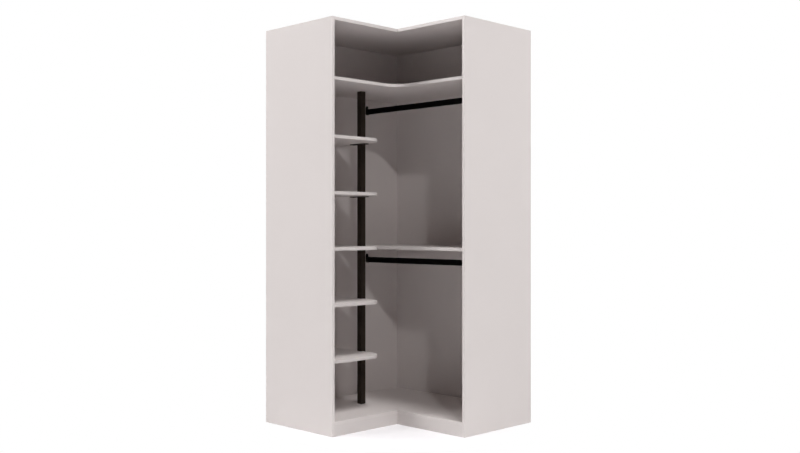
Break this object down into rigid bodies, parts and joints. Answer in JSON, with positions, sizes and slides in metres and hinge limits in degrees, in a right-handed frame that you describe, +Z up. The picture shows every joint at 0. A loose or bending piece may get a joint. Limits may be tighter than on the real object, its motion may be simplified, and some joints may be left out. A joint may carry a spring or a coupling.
{
  "type": "corner wardrobe",
  "caption": "Open L-shaped corner wardrobe of light grey boards: rounded shelves on a black post in one leg, hanging rails under shelves in the other, a shelf through both on top.",
  "frame": {"origin": "on the floor, in the middle of the box that the wardrobe fills", "axes": "+Z up; X along the right-hand wall; +Y along the left-hand wall towards the room corner, so the room corner is at -X +Y and the open front faces +X -Y"},
  "size_m": [1.092, 1.072, 2.26],
  "materials": {
    "coated_board": "matt warm light grey melamine on chipboard, like-coloured edge bands",
    "black_steel": "matt black powder coat",
    "bright_steel": "zinc-plated fittings",
    "beech": "plain turned hardwood",
    "black_plastic": "moulded, matt"
  },
  "bodies": {
    "root": {"back_panel_cam_bolts": "bright_steel", "back_panel_cam_locks": "bright_steel", "back_panel_dowels": "beech", "bottom_panel": "coated_board", "bottom_panel_cam_bolts": "bright_steel", "bottom_panel_cam_locks": "bright_steel", "bottom_panel_dowels": "beech", "left_back_panel": "coated_board", "left_plinth": "coated_board", "left_plinth_brace": "coated_board", "left_shelf_1": "coated_board", "left_shelf_2": "coated_board", "left_shelf_3": "coated_board", "left_shelf_4": "coated_board", "left_shelf_5": "coated_board", "left_shelf_pins": "bright_steel", "left_side_panel": "coated_board", "lower_rail": "black_steel", "lower_rail_left_socket": "black_steel", "lower_rail_right_socket": "black_steel", "plinth_dowels": "beech", "post": "black_steel", "post_bottom_plug": "black_plastic", "post_screws": "bright_steel", "post_top_plug": "black_plastic", "rail_screws": "black_steel", "right_back_panel": "coated_board", "right_plinth": "coated_board", "right_plinth_brace": "coated_board", "right_shelf": "coated_board", "right_shelf_pins": "bright_steel", "right_side_panel": "coated_board", "shelf_plate_1": "black_steel", "shelf_plate_2": "black_steel", "shelf_plate_3": "black_steel", "shelf_plate_4": "black_steel", "shelf_plate_5": "black_steel", "shelf_plate_screws": "black_steel", "top_panel": "coated_board", "top_panel_cam_bolts": "bright_steel", "top_panel_cam_locks": "bright_steel", "top_panel_dowels": "beech", "upper_rail": "black_steel", "upper_rail_left_socket": "black_steel", "upper_rail_right_socket": "black_steel", "upper_shelf": "coated_board", "upper_shelf_cam_bolts": "bright_steel", "upper_shelf_cam_locks": "bright_steel", "upper_shelf_dowels": "beech"}
  },
  "joints": []
}
